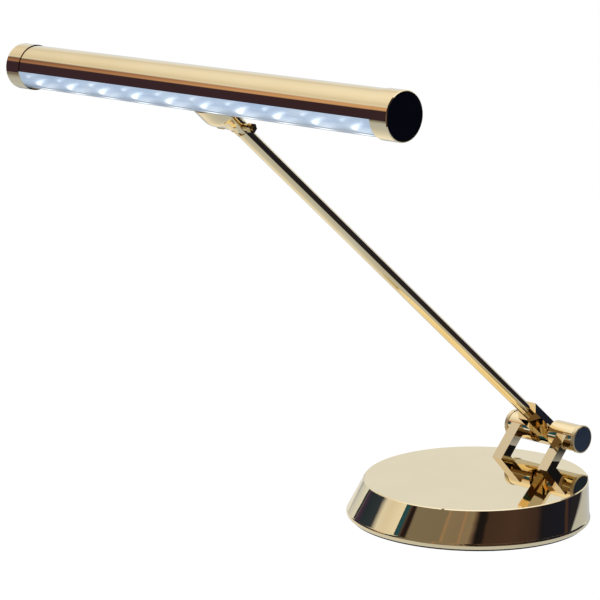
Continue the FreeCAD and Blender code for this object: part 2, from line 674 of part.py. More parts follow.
# Cross screw with its knurled knob on one side and the nut on the other.
scr = xcyl("tilt_screw_solid", "screw_radius", "screw_length", -dims["screw_left"], 0.0, TILT)
scr.Placement = FreeCAD.Placement(NECK + ARM_ROT.multVec(V(-dims["screw_left"], 0, TILT)),
                                  ARM_ROT.multiply(FreeCAD.Rotation(V(0, 1, 0), 90)))
keep(scr, "tilt_screw")

knob = body("knob_blank")
s_kb = sketch(knob, "XZ_Plane")
ko, ki, kf = -dims["knob_outer"], -dims["knob_inner"], -dims["knob_face"]
kr, kc, sr = dims["knob_radius"], dims["knob_collar"], dims["screw_radius"]
sl = -dims["screw_left"]
outline(s_kb, [(ko, 0.0), (ko, kr - 0.5), (ko + 0.5, kr), (ki - 0.4, kr), (ki, kr - 0.4), (ki, kc), (kf, kc),
               (kf, sr), (sl, sr), (sl, 0.0)])
turn(knob, s_kb, "H_Axis")
doc.recompute()
v_k = knob.Shape.Volume
s_kn = sketch(knob, "YZ_Plane", 0.0, 0.0, ko)
g = s_kn.addGeometry(Part.Circle(V(0, kr + 0.1, 0), V(0, 0, 1), dims["knob_notch"]), False)
constrain(s_kn, "DistanceX", g, 3, 0.0)
constrain(s_kn, "DistanceY", g, 3, kr + 0.1)
s_kn.addConstraint(Sketcher.Constraint("Radius", g, dims["knob_notch"]))
pk = pocket(knob, s_kn, ki - ko, back=True)
doc.recompute()
if not knob.Shape.Volume < v_k - 0.2:
    raise RuntimeError("knurl notch took nothing away")
pat = knob.newObject("PartDesign::PolarPattern", "knob_knurl")
pat.Originals = [pk]
pat.Axis = (plane(knob, "X_Axis"), [""])
pat.Angle = 360.0
pat.Occurrences = 20
knob.Tip = pat
doc.recompute()
knob.Placement = FreeCAD.Placement(NECK + ARM_ROT.multVec(V(0, 0, TILT)), ARM_ROT)
keep(knob, "tilt_knob")

nutb = body("tilt_nut_blank")
s_nt = sketch(nutb, "YZ_Plane", 0.0, 0.0, "nut_inner")
nc = dims["nut_flat"] / math.cos(math.pi / 6)
outline(s_nt, [(nc * math.cos(math.radians(60 * k)), nc * math.sin(math.radians(60 * k))) for k in range(6)])
pad(nutb, s_nt, dims["nut_outer"] - dims["nut_inner"])
s_nc = sketch(nutb, "YZ_Plane", 0.0, 0.0, "nut_face")
ring_of(s_nc, "nut_collar")
pad(nutb, s_nc, dims["nut_inner"] - dims["nut_face"])
doc.recompute()
v_n = nutb.Shape.Volume
s_nh = sketch(nutb, "YZ_Plane", 0.0, 0.0, 0.0)
ring_of(s_nh, "tilt_hole")
pocket(nutb, s_nh, 30.0, mid=True)
doc.recompute()
drop(10, v_n, nutb.Shape.Volume, "nut hole")
nutb.Placement = FreeCAD.Placement(NECK + ARM_ROT.multVec(V(0, 0, TILT)), ARM_ROT)
keep(nutb, "tilt_nut")

HX, HY, HZ = HEAD.x, HEAD.y, HEAD.z


def at_head(obj, x=0.0):
    obj.Placement = FreeCAD.Placement(V(x, HY, HZ), obj.Placement.Rotation)
    return obj


# Outer tube with its window.
shade = body("shade_tube")
s_sh = sketch(shade, "YZ_Plane")
ring_of(s_sh, "shade_radius")
ring_of(s_sh, "shade_bore")
pad(shade, s_sh, 2 * dims["shade_half"], mid=True)
doc.recompute()
v_s = shade.Shape.Volume
s_wd = sketch(shade, "YZ_Plane")
w0, w1 = dims["window_top"], dims["window_bottom"]
outline(s_wd, [(0.0, 0.0), ray(w0, 16), ray(w0 - 28, 19), ray((w0 + w1) / 2, 22), ray(w1 + 28, 19), ray(w1, 16)])
pocket(shade, s_wd, 2 * dims["window_half"], mid=True)
doc.recompute()
drop(3000, v_s, shade.Shape.Volume, "window")
place(shade, 0.0, HY, HZ)
keep(shade, "shade_tube")

clear = body("clear_tube")
s_cl = sketch(clear, "YZ_Plane")
ring_of(s_cl, "clear_radius")
ring_of(s_cl, "clear_bore")
pad(clear, s_cl, 2 * dims["clear_half"], mid=True)
place(clear, 0.0, HY, HZ)
keep(clear, "clear_tube")

# Light engine: aluminium bar behind the board, board, emitters, white liner.
nrm = math.radians(dims["led_normal"])
NY, NZ = -math.cos(nrm), math.sin(nrm)          # the direction the emitters face
sink_ang = math.degrees(math.atan2(NZ, NY))     # of the facing direction, from +Y
FACE = FreeCAD.Rotation(V(1, 0, 0), sink_ang)   # local +Y is the facing direction

sink_round = xcyl("sink_round", "sink_radius", 2 * dims["sink_half"], -dims["sink_half"])
sink_cutter = block("sink_cutter", 400.0, 40.0, 40.0, -200.0, -dims["sink_gap"], -20.0)
sink = cut("sink_cut", sink_round, sink_cutter)
groove1 = block("sink_groove_a", 400.0, 4.0, 1.2, -200.0, -12.0, 2.2)
groove2 = block("sink_groove_b", 400.0, 4.0, 1.2, -200.0, -12.0, -0.6)
groove3 = block("sink_groove_c", 400.0, 4.0, 1.2, -200.0, -12.0, -3.4)
sink = cut("sink_finned", sink, fuse("sink_grooves", groove1, groove2, groove3))
sink.Placement = FreeCAD.Placement(V(0, HY, HZ), FACE)
keep(sink, "led_heat_sink")

board = block("board_solid", 2 * dims["sink_half"], "board_thick", "board_width")
board.Placement = FreeCAD.Placement(V(0, HY, HZ) + FACE.multVec(
    V(-dims["sink_half"], -dims["sink_gap"], -dims["board_width"] / 2)), FACE)
keep(board, "led_board")

leds = []
for k in range(10):
    xk = (k - 4.5) * dims["led_pitch"]
    d = block("led_%02d" % k, "led_size", "led_thick", "led_size")
    d.Placement = FreeCAD.Placement(V(0, HY, HZ) + FACE.multVec(
        V(xk - dims["led_size"] / 2, -dims["sink_gap"] + dims["board_thick"], -dims["led_size"] / 2)), FACE)
    leds.append(d)
keep(group("led_group", *leds), "led_emitters")

liner = body("liner_blank")
s_li = sketch(liner, "YZ_Plane")
la, lbb = math.radians(dims["liner_from"]), math.radians(dims["liner_to"])


def yz(deg_rad, r):
    return V(-r * math.cos(deg_rad), r * math.sin(deg_rad), 0)


ro, ri = dims["liner_outer"], dims["liner_inner"]
mid = (la + lbb) / 2
l0 = s_li.addGeometry(Part.Arc(yz(la, ro), yz(mid, ro), yz(lbb, ro)), False)
l1 = s_li.addGeometry(Part.LineSegment(yz(lbb, ro), yz(lbb, ri)), False)
l2 = s_li.addGeometry(Part.Arc(yz(lbb, ri), yz(mid, ri), yz(la, ri)), False)
l3 = s_li.addGeometry(Part.LineSegment(yz(la, ri), yz(la, ro)), False)
for g in (l0, l1, l2, l3):
    s_li.addConstraint(Sketcher.Constraint("Block", g))
pad(liner, s_li, 2 * dims["liner_half"], mid=True)
place(liner, 0.0, HY, HZ)
keep(liner, "head_reflector")


def turned_x(name, pts, sign, node):
    """Ring about the head axis from (x, radius) corners, mirrored for the left."""
    b = body(name)
    s = sketch(b, "XY_Plane")
    if sign < 0:
        pts = [("-" + x if isinstance(x, str) else -x, y) for x, y in pts]
    outline(s, pts)
    turn(b, s, "H_Axis")
    place(b, 0.0, HY, HZ)
    return keep(b, node)


for side, sign in (("left", -1), ("right", 1)):
    ce = dims["cap_end"]
    ed = dims["cap_edge"]
    turned_x("cap_%s_turned" % side,
             [("cap_start", "shade_radius"), ("cap_start", "cap_radius"), (ce - ed, "cap_radius"),
              ("cap_end", dims["cap_radius"] - ed), ("cap_end", "cap_seat"), ("cap_web_out", "cap_seat"),
              ("cap_web_out", "cap_web_bore"), ("cap_web_in", "cap_web_bore"), ("cap_web_in", "shade_radius")],
             sign, "end_cap_%s" % side)
    x0 = dims["cap_web_out"]
    turned_x("disc_%s_turned" % side,
             [(x0, 0.0), (x0, "disc_radius"), (x0 + dims["disc_thick"] - 0.3, "disc_radius"),
              (x0 + dims["disc_thick"], dims["disc_radius"] - 0.3), (x0 + dims["disc_thick"], 0.0)],
             sign, "cap_disc_%s" % side)
    turned_x("holder_%s_turned" % side,
             [("holder_in", "holder_bore"), ("holder_in", "holder_radius"), ("holder_out", "holder_radius"),
              ("holder_out", "holder_bore")], sign, "tube_holder_%s" % side)

# Soft rings around the light engine near both ends of the clear tube, cut flat
# where the heat sink passes.
for side, sign in (("left", -1), ("right", 1)):
    x0 = dims["seal_in"] if sign > 0 else -dims["seal_out"]
    outer = xcyl("seal_%s_outer" % side, "seal_radius", 2.4, x0)
    inner = xcyl("seal_%s_inner" % side, "seal_bore", 10.0, x0 - 4)
    trim = block("seal_%s_trim" % side, 40.0, 40.0, 60.0, x0 - 10, -40.0, -30.0)
    trim.Placement = FreeCAD.Placement(V(x0 - 10, -40.0 + 0.5 - dims["sink_gap"] + dims["board_thick"] + 1.0, -30), FreeCAD.Rotation())
    seal = cut("seal_%s_cut" % side, cut("seal_%s_ring" % side, outer, inner), trim)
    seal.Placement = FreeCAD.Placement(V(0, HY, HZ), FACE)
    keep(seal, "tube_seal_%s" % side)

doc.recompute()

# ------------------------------------------------------------ check and write
bad = []
for o in doc.Objects:
    if "Invalid" in o.State or "Error" in o.State:
        bad.append(o.Name + " " + ",".join(o.State))
for name, o in NODES.items():
    shp = o.Shape
    if shp.isNull() or not shp.isValid() or shp.Volume <= 0:
        bad.append(name + " shape")
if bad:
    raise RuntimeError("not sound: " + "; ".join(bad))

os.makedirs("parts", exist_ok=True)
total = Part.makeCompound([o.Shape for o in NODES.values()]).BoundBox
for name, o in NODES.items():
    o.Shape.exportStep("parts/%s.step" % name)
    bb = o.Shape.BoundBox
    print("%-20s solids %2d  vol %10.1f  x %.1f..%.1f y %.1f..%.1f z %.1f..%.1f" %
          (name, len(o.Shape.Solids), o.Shape.Volume, bb.XMin, bb.XMax, bb.YMin, bb.YMax, bb.ZMin, bb.ZMax))
print("nodes", len(NODES), "box", total)
print("head axis", HEAD, "tilt axis", NECK + ARM_ROT.multVec(V(0, 0, TILT)))
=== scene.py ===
import bpy
import math
from mathutils import Matrix, Vector

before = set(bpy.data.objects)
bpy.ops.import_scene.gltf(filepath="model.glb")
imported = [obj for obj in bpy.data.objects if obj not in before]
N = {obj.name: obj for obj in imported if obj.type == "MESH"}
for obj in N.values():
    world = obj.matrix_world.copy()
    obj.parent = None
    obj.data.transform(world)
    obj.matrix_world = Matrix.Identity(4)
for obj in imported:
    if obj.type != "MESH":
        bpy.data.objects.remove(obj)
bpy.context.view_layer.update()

scene = bpy.context.scene
scene.view_settings.view_transform = "Standard"
scene.view_settings.look = "None"
scene.view_settings.exposure = 0.0
scene.view_settings.gamma = 1.0

# ------------------------------------------------------------------ node tools
MM = 0.001
PIVOT = Vector((0.0, 0.076, 0.0444))
ELEV = math.radians(39.1)
ALONG = Vector((0.0, -math.cos(ELEV), math.sin(ELEV)))
HEAD = PIVOT + ALONG * 0.395


class Tree:
    """Small helper that adds shader nodes and links them."""

    def __init__(self, owner):
        owner.use_nodes = True
        self.t = owner.node_tree
        self.t.nodes.clear()

    def add(self, kind, **props):
        n = self.t.nodes.new(kind)
        for k, v in props.items():
            setattr(n, k, v)
        return n

    def link(self, a, b):
        self.t.links.new(a, b)

    def math(self, op, a, b=None, c=None, clamp=False):
        n = self.add("ShaderNodeMath", operation=op)
        n.use_clamp = clamp
        for i, v in enumerate((a, b, c)):
            if v is None:
                continue
            if isinstance(v, (int, float)):
                n.inputs[i].default_value = v
            else:
                self.link(v, n.inputs[i])
        return n.outputs[0]

    def mix(self, fac, a, b, blend="MIX"):
        n = self.add("ShaderNodeMix", data_type="RGBA", blend_type=blend)
        for sock, v in ((n.inputs[0], fac), (n.inputs[6], a), (n.inputs[7], b)):
            if isinstance(v, (int, float)):
                sock.default_value = v
            elif isinstance(v, tuple):
                sock.default_value = (v[0], v[1], v[2], 1.0)
            else:
                self.link(v, sock)
        return n.outputs[2]

    def ramp(self, fac, stops, interp="LINEAR"):
        n = self.add("ShaderNodeValToRGB")
        cr = n.color_ramp
        cr.interpolation = interp
        while len(cr.elements) > 1:
            cr.elements.remove(cr.elements[-1])
        cr.elements[0].position = stops[0][0]
        cr.elements[0].color = self._rgba(stops[0][1])
        for p, c in stops[1:]:
            e = cr.elements.new(p)
            e.color = self._rgba(c)
        self.link(fac, n.inputs[0])
        return n.outputs[0]

    @staticmethod
    def _rgba(c):
        if isinstance(c, (int, float)):
            return (c, c, c, 1.0)
        return (c[0], c[1], c[2], 1.0)

    def noise(self, vec, scale, detail=3.0, rough=0.5):
        n = self.add("ShaderNodeTexNoise")
        n.inputs["Scale"].default_value = scale
        n.inputs["Detail"].default_value = detail
        n.inputs["Roughness"].default_value = rough
        self.link(vec, n.inputs["Vector"])
        return n.outputs["Fac"]

    def coords(self):
        return self.add("ShaderNodeTexCoord").outputs["Object"]

    def mapped(self, vec, scale=(1, 1, 1), rot=(0, 0, 0), loc=(0, 0, 0)):
        n = self.add("ShaderNodeMapping")
        n.inputs["Scale"].default_value = scale
        n.inputs["Rotation"].default_value = rot
        n.inputs["Location"].default_value = loc
        self.link(vec, n.inputs["Vector"])
        return n.outputs["Vector"]

    def bump(self, height, strength, distance):
        n = self.add("ShaderNodeBump")
        n.inputs["Strength"].default_value = strength
        n.inputs["Distance"].default_value = distance
        self.link(height, n.inputs["Height"])
        return n.outputs["Normal"]


def material(name):
    m = bpy.data.materials.new(name)
    return m, Tree(m)


def output(t, shader):
    o = t.add("ShaderNodeOutputMaterial")
    t.link(shader, o.inputs["Surface"])


def polished_brass(name, tint_a, tint_b, rough_lo, rough_hi, stretch, bump_strength, turned=False):
    """Mirror brass: slight tone drift in the lacquer, faint wiping marks in the
    gloss along the polishing direction, and a very weak waviness."""
    m, t = material(name)
    co = t.coords()
    drift = t.noise(co, 22.0, 2.0)
    color = t.ramp(drift, [(0.3, tint_a), (0.7, tint_b)])
    wipes = t.noise(t.mapped(co, stretch), 1.0, 4.0, 0.6)
    dust = t.noise(co, 900.0, 2.0, 0.7)
    mixr = t.math("MULTIPLY_ADD", dust, 0.25, t.math("MULTIPLY", wipes, 0.75))
    rough = t.math("MULTIPLY_ADD", mixr, rough_hi - rough_lo, rough_lo)
    p = t.add("ShaderNodeBsdfPrincipled")
    p.inputs["Metallic"].default_value = 1.0
    t.link(color, p.inputs["Base Color"])
    t.link(rough, p.inputs["Roughness"])
    wave = t.noise(co, 60.0 if not turned else 400.0, 1.0)
    t.link(t.bump(wave, bump_strength, 0.0002), p.inputs["Normal"])
    output(t, p.outputs[0])
    return m


BR_A, BR_B = (0.86, 0.715, 0.44), (0.89, 0.75, 0.48)
brass = polished_brass("brass_polished", BR_A, BR_B, 0.012, 0.05, (35, 400, 400), 0.02)
brass_base = polished_brass("brass_base", BR_A, BR_B, 0.012, 0.045, (60, 60, 300), 0.012)
brass_rod = polished_brass("brass_rod", (0.84, 0.67, 0.37), BR_B, 0.02, 0.07, (300, 40, 40), 0.03)
brass_bar = polished_brass("brass_bar", (0.60, 0.49, 0.31), (0.66, 0.54, 0.35), 0.03, 0.08, (40, 300, 300), 0.03)
brass_hub = polished_brass("brass_hub", (0.74, 0.55, 0.28), (0.80, 0.61, 0.33), 0.02, 0.07, (300, 40, 40), 0.03)
brass_turned = polished_brass("brass_turned", (0.70, 0.50, 0.22), (0.80, 0.60, 0.30), 0.14, 0.28, (900, 900, 900), 0.15, True)

brass_ring = polished_brass("brass_ring", BR_A, BR_B, 0.42, 0.52, (500, 500, 500), 0.08, True)


def machined(name, tint, lo, hi, stretch, metal=1.0, bump_strength=0.2, scale=900.0):
    """Brushed or cast metal with directional scratches in gloss and height."""
    m, t = material(name)
    co = t.coords()
    lines = t.noise(t.mapped(co, stretch), 1.0, 5.0, 0.65)
    spots = t.noise(co, scale * 0.2, 3.0)
    color = t.mix(t.math("MULTIPLY", spots, 0.5), tint, tuple(c * 0.72 for c in tint))
    p = t.add("ShaderNodeBsdfPrincipled")
    p.inputs["Metallic"].default_value = metal
    t.link(color, p.inputs["Base Color"])
    t.link(t.math("MULTIPLY_ADD", lines, hi - lo, lo), p.inputs["Roughness"])
    t.link(t.bump(lines, bump_strength, 0.0001), p.inputs["Normal"])
    output(t, p.outputs[0])
    return m


steel = machined("steel_plate", (0.60, 0.60, 0.62), 0.22, 0.42, (40, 900, 900))
iron = machined("iron_cast", (0.05, 0.05, 0.055), 0.5, 0.8, (700, 700, 700), 0.3, 0.6)
alu = machined("aluminium_extruded", (0.80, 0.81, 0.83), 0.2, 0.38, (14, 1200, 1200))


def plastic(name, tint, tint2, rough_lo, rough_hi, grain, bump_strength, coat=0.0):
    """Moulded plastic or rubber: tone mottling, fine moulding grain."""
    m, t = material(name)
    co = t.coords()
    mott = t.noise(co, 70.0, 3.0)
    fine = t.noise(co, grain, 3.0, 0.6)
    p = t.add("ShaderNodeBsdfPrincipled")
    t.link(t.ramp(mott, [(0.3, tint), (0.7, tint2)]), p.inputs["Base Color"])
    t.link(t.math("MULTIPLY_ADD", fine, rough_hi - rough_lo, rough_lo), p.inputs["Roughness"])
    t.link(t.bump(fine, bump_strength, 0.0001), p.inputs["Normal"])
    p.inputs["Coat Weight"].default_value = coat
    p.inputs["Coat Roughness"].default_value = 0.08
    p.inputs["Specular IOR Level"].default_value = 0.35
    output(t, p.outputs[0])
    return m


navy = plastic("plug_navy", (0.026, 0.045, 0.085), (0.036, 0.058, 0.10), 0.42, 0.55, 2600.0, 0.12)
dark = plastic("disc_dark", (0.0022, 0.0035, 0.010), (0.0032, 0.005, 0.013), 0.30, 0.42, 2600.0, 0.08)
rubber = plastic("rubber_black", (0.012, 0.012, 0.013), (0.02, 0.02, 0.021), 0.6, 0.8, 1800.0, 0.4)
wire = plastic("wire_black", (0.02, 0.02, 0.022), (0.03, 0.03, 0.032), 0.35, 0.5, 1500.0, 0.2)
grey = plastic("holder_grey", (0.50, 0.54, 0.60), (0.60, 0.64, 0.70), 0.3, 0.45, 1500.0, 0.15)
board = plastic("board_white", (0.80, 0.83, 0.86), (0.88, 0.90, 0.92), 0.3, 0.4, 1200.0, 0.1)


def felt():
    m, t = material("felt_black")
    co = t.coords()
    fib = t.noise(co, 1400.0, 6.0, 0.75)
    clump = t.noise(co, 160.0, 3.0)
    p = t.add("ShaderNodeBsdfPrincipled")
    t.link(t.ramp(t.math("MULTIPLY", fib, clump), [(0.1, (0.010, 0.009, 0.010)), (0.45, (0.05, 0.048, 0.05))]),
           p.inputs["Base Color"])
    p.inputs["Roughness"].default_value = 0.95
    p.inputs["Sheen Weight"].default_value = 0.3
    t.link(t.bump(fib, 0.8, 0.0003), p.inputs["Normal"])
    output(t, p.outputs[0])
    return m


felt_black = felt()

PITCH = 0.030
FIRST = -0.135


def led_pattern(t, x_sock, shift, width):
    """1 at each emitter along X, falling off within about width."""
    u = t.math("DIVIDE", t.math("SUBTRACT", x_sock, FIRST + shift), PITCH)
    cell = t.math("SUBTRACT", u, t.math("ROUND", u))
    d = t.math("MULTIPLY", cell, PITCH / width)
    g = t.math("POWER", 2.71828, t.math("MULTIPLY", t.math("MULTIPLY", d, d), -1.0))
    inside = t.math("MULTIPLY", t.math("GREATER_THAN", u, -0.5), t.math("LESS_THAN", u, 9.5))
    return t.math("MULTIPLY", g, inside)


def split(t, vec):
    n = t.add("ShaderNodeSeparateXYZ")
    t.link(vec, n.inputs[0])
    return n.outputs


def reflector():
    """Bright film behind the window, glowing by emission: painted cool light, as if from
    the row of emitters, with painted brighter pools below each, fine streaks along the film and softer blotches."""
    m, t = material("reflector_emissive_paint")
    co = t.coords()
    x, y, z = split(t, co)
    streak = t.noise(t.mapped(co, (28, 900, 900)), 1.0, 4.0, 0.6)
    blot = t.noise(t.mapped(co, (70, 160, 160)), 1.0, 3.0, 0.55)
    tone = t.ramp(t.math("MULTIPLY_ADD", streak, 0.45, t.math("MULTIPLY", blot, 0.55)),
                  [(0.25, (0.36, 0.50, 0.74)), (0.45, (0.50, 0.63, 0.84)), (0.62, (0.66, 0.77, 0.90)),
                   (0.8, (0.80, 0.88, 0.97))])
    # painted pools of light below each emitter, in the film's emission colour
    painted_light_pool = led_pattern(t, x, 0.0, 0.0075)
    lit = t.mix(t.math("MULTIPLY", painted_light_pool, 0.12), tone, (0.92, 0.97, 1.0))
    p = t.add("ShaderNodeBsdfPrincipled")
    p.inputs["Base Color"].default_value = (0.30, 0.34, 0.38, 1)
    p.inputs["Roughness"].default_value = 0.35
    t.link(lit, p.inputs["Emission Color"])
    p.inputs["Emission Strength"].default_value = 0.72
    t.link(t.bump(streak, 0.3, 0.0002), p.inputs["Normal"])
    output(t, p.outputs[0])
    return m


def emitter():
    """Lit emitter: white with a slightly warmer phosphor square."""
    m, t = material("led_lit")
    co = t.coords()
    x, y, z = split(t, co)
    core = led_pattern(t, x, 0.0, 0.0011)
    grain = t.noise(co, 4000.0, 2.0)
    col = t.mix(core, (0.75, 0.86, 1.0), (1.0, 1.0, 0.97))
    p = t.add("ShaderNodeBsdfPrincipled")
    p.inputs["Base Color"].default_value = (0.9, 0.92, 0.8, 1)
    t.link(col, p.inputs["Emission Color"])
    p.inputs["Emission Strength"].default_value = 6.0
    t.link(t.math("MULTIPLY_ADD", grain, 0.1, 0.3), p.inputs["Roughness"])
    output(t, p.outputs[0])
    return m


def clear():
    """Clear tube with painted light from inside: see-through, glossy at grazing angles,
    with a faint hazy emission, painted glowing spots level with the emitters and
    bright dashes low down that are painted reflections of each emitter in the inner
    wall; these are emission set by angle in the material, not light from the emitters."""
    m, t = material("clear_tube_emissive_paint")
    co = t.coords()
    x, y, z = split(t, co)
    # angle about the head axis, 0 at the front, -90 degrees at the bottom
    fy = t.math("SUBTRACT", HEAD.y, y)
    fz = t.math("SUBTRACT", z, HEAD.z)
    ang = t.math("MULTIPLY", t.math("ARCTAN2", fz, fy), 180.0 / math.pi)
    streak = t.noise(t.mapped(co, (22, 700, 700)), 1.0, 4.0, 0.6)
    cloud = t.noise(t.mapped(co, (60, 110, 110)), 1.0, 3.0, 0.6)
    painted_haze_colour = t.ramp(t.math("MULTIPLY_ADD", streak, 0.4, t.math("MULTIPLY", cloud, 0.6)),
                  [(0.3, (0.40, 0.54, 0.76)), (0.5, (0.55, 0.68, 0.86)), (0.7, (0.74, 0.83, 0.94))])

    def make_painted_spot(centre, half, shift, width, soft=1.0):
        a = t.math("DIVIDE", t.math("SUBTRACT", ang, centre), half)
        ga = t.math("POWER", 2.71828, t.math("MULTIPLY", t.math("MULTIPLY", a, a), -1.0))
        return t.math("MULTIPLY", t.math("MULTIPLY", ga, led_pattern(t, x, shift, width)), soft)

    # painted light: glowing spots by angle about the head axis, a soft ring round them, a fainter second row higher
    # up, and painted reflections of the emitters as dashes low down
    core = make_painted_spot(-40.0, 5.0, 0.0, 0.0019, 1.1)
    painted_halo = make_painted_spot(-40.0, 9.0, 0.0, 0.0045, 0.18)
    painted_second_spot = make_painted_spot(-20.0, 4.0, -0.0075, 0.0018, 0.26)
    painted_reflection_dash = make_painted_spot(-64.0, 3.4, 0.004, 0.0070, 1.2)
    # the painted glowing spots fade with a slow unevenness so that no two are alike
    uneven = t.math("MULTIPLY_ADD", t.noise(t.mapped(co, (16, 16, 16)), 1.0, 2.0), 0.9, 0.55)
    painted_glow_sum = t.math("MULTIPLY", t.math("ADD", t.math("ADD", core, painted_halo), painted_second_spot), uneven)
    painted_glow_sum = t.math("ADD", painted_glow_sum, painted_reflection_dash)
    em = t.add("ShaderNodeEmission")
    em.inputs["Color"].default_value = (0.93, 0.98, 1.0, 1)
    t.link(painted_glow_sum, em.inputs["Strength"])
    # painted hazy emission over the tube, fainter at the very bottom
    hz = t.add("ShaderNodeEmission")
    t.link(painted_haze_colour, hz.inputs["Color"])
    low = t.math("MULTIPLY_ADD", ang, 1 / 4.0, 73.5 / 4.0, clamp=True)
    t.link(t.math("MULTIPLY_ADD", low, 0.75, 0.15), hz.inputs["Strength"])
    see = t.add("ShaderNodeBsdfTransparent")
    see.inputs["Color"].default_value = (0.93, 0.965, 1.0, 1)
    gl = t.add("ShaderNodeBsdfGlossy")
    gl.inputs["Color"].default_value = (1, 1, 1, 1)
    gl.inputs["Roughness"].default_value = 0.02
    fr = t.add("ShaderNodeFresnel")
    fr.inputs["IOR"].default_value = 1.47
    m1 = t.add("ShaderNodeMixShader")
    t.link(t.math("MULTIPLY", fr.outputs[0], 0.9, clamp=True), m1.inputs[0])
    t.link(see.outputs[0], m1.inputs[1])
    t.link(gl.outputs[0], m1.inputs[2])
    m2 = t.add("ShaderNodeMixShader")
    m2.inputs[0].default_value = 0.30
    t.link(m1.outputs[0], m2.inputs[1])
    t.link(hz.outputs[0], m2.inputs[2])
    ad = t.add("ShaderNodeAddShader")
    t.link(m2.outputs[0], ad.inputs[0])
    t.link(em.outputs[0], ad.inputs[1])
    output(t, ad.outputs[0])
    return m


reflector_emissive_mat, led_lit, clear_emissive_mat = reflector(), emitter(), clear()

ASSIGN = {
    "base_pad": felt_black, "base_shell": brass_base, "base_weight": iron, "base_cover": steel,
    "cover_screws": steel, "cord_gland": rubber, "bracket_bar_left": brass_bar, "bracket_bar_right": brass_bar,
    "bracket_screws": steel, "pivot_tube": brass, "pivot_ring_left": brass_ring, "pivot_ring_right": brass_ring,
    "pivot_plug_left": navy, "pivot_plug_right": navy, "pivot_bush_left": brass_turned,
    "pivot_bush_right": brass_turned, "pivot_axle": steel, "pivot_nut": steel, "arm_hub": brass_hub,
    "hub_setscrew": steel, "arm_rod": brass_rod, "arm_wire": wire, "arm_tongue": brass_turned,
    "head_neck": brass, "tilt_screw": brass_turned, "tilt_knob": brass_turned, "tilt_nut": brass_turned,
    "shade_tube": brass, "clear_tube": clear_emissive_mat, "led_heat_sink": alu, "led_board": board,
    "led_emitters": led_lit, "head_reflector": reflector_emissive_mat, "end_cap_left": brass, "end_cap_right": brass,
    "cap_disc_left": dark, "cap_disc_right": dark, "tube_holder_left": grey, "tube_holder_right": grey,
    "tube_seal_left": rubber, "tube_seal_right": rubber,
}
for name, mat in ASSIGN.items():
    me = N[name].data
    me.materials.clear()
    me.materials.append(mat)
    for p in me.polygons:
        p.material_index = 0

# ------------------------------------------------------------- floor and light
fl = bpy.data.meshes.new("floor")
seg, rx, ry = 96, 1.05, 1.05
pts = [(0.0, 0.0, 0.0)]
for k in range(seg):
    a = 2 * math.pi * k / seg
    pts.append((-0.35 + rx * math.cos(a), 0.10 + ry * math.sin(a), 0.0))
fl.from_pydata(pts, [], [(0, 1 + k, 1 + (k + 1) % seg) for k in range(seg)])
floor = bpy.data.objects.new("floor", fl)
scene.collection.objects.link(floor)
fm, ft = material("floor_pale")
fco = ft.coords()
fx, fy, fz = split(ft, fco)
# a pale table, pure white to the eye; what polished metal picks up from it is
# softer, with painted brighter light below the lit head, and ends at the table's side
grain = ft.noise(fco, 9.0, 2.0)
hx = ft.math("MULTIPLY", ft.math("ADD", fx, 0.20), 1 / 0.20)
hy = ft.math("MULTIPLY", ft.math("ADD", fy, 0.10), 1 / 0.20)
rr = ft.math("ADD", ft.math("MULTIPLY", hx, hx), ft.math("MULTIPLY", hy, hy))
# painted pools of light on the table below the lit head, seen only in reflections
painted_light_pool = ft.math("POWER", 2.71828, ft.math("MULTIPLY", rr, -1.0))
sidew = ft.math("ADD", ft.math("MULTIPLY", fx, 0.672), ft.math("MULTIPLY", fy, 0.740))
edge_in = ft.math("MULTIPLY_ADD", sidew, -1 / 0.04, 0.5 + 0.19 / 0.04, clamp=True)
base_tone = ft.ramp(grain, [(0.3, (0.50, 0.545, 0.62)), (0.7, (0.53, 0.575, 0.65))])
lit_tone = ft.mix(painted_light_pool, base_tone, (0.98, 0.96, 0.90))
far2 = ft.math("ADD", ft.math("MULTIPLY", fx, fx), ft.math("MULTIPLY", fy, fy))
fade = ft.math("MULTIPLY_ADD", far2, -1 / 0.5, 1.9, clamp=True)
lit_tone = ft.mix(fade, (0.20, 0.19, 0.18), lit_tone)
seen = ft.mix(edge_in, (0.02, 0.02, 0.03), lit_tone)
fe = ft.add("ShaderNodeEmission")
ft.link(seen, fe.inputs["Color"])
fe.inputs["Strength"].default_value = 1.0
fw = ft.add("ShaderNodeEmission")
ft.link(ft.ramp(grain, [(0.3, (0.998, 0.998, 0.998)), (0.7, (1.0, 1.0, 1.0))]), fw.inputs["Color"])
fw.inputs["Strength"].default_value = 1.02
flp = ft.add("ShaderNodeLightPath")
fmx = ft.add("ShaderNodeMixShader")
ft.link(flp.outputs["Is Camera Ray"], fmx.inputs[0])
ft.link(fe.outputs[0], fmx.inputs[1])
ft.link(fw.outputs[0], fmx.inputs[2])
output(ft, fmx.outputs[0])
fl.materials.append(fm)

# Surroundings: white above and behind, a darker room on the viewing side with
# upright shapes in it, as a polished object in a light tent's mouth reflects.
world = bpy.data.worlds.new("studio")
scene.world = world
w = Tree(world)
gen = w.add("ShaderNodeTexCoord").outputs["Generated"]
dx, dy, dz = split(w, gen)
CX, CY = math.sin(0.8159), -math.cos(0.8159)
cosr = w.math("ADD", w.math("MULTIPLY", dx, CX), w.math("MULTIPLY", dy, CY))
sinr = w.math("SUBTRACT", w.math("MULTIPLY", dy, CX), w.math("MULTIPLY", dx, CY))
azr = w.math("MULTIPLY", w.math("ARCTAN2", sinr, cosr), 180 / math.pi)      # 0 front, + right
elv = w.math("MULTIPLY", w.math("ARCSINE", dz), 180 / math.pi)
azn = w.math("MULTIPLY_ADD", azr, 1 / 360, 0.5)


def az(a):
    return a / 360.0 + 0.5


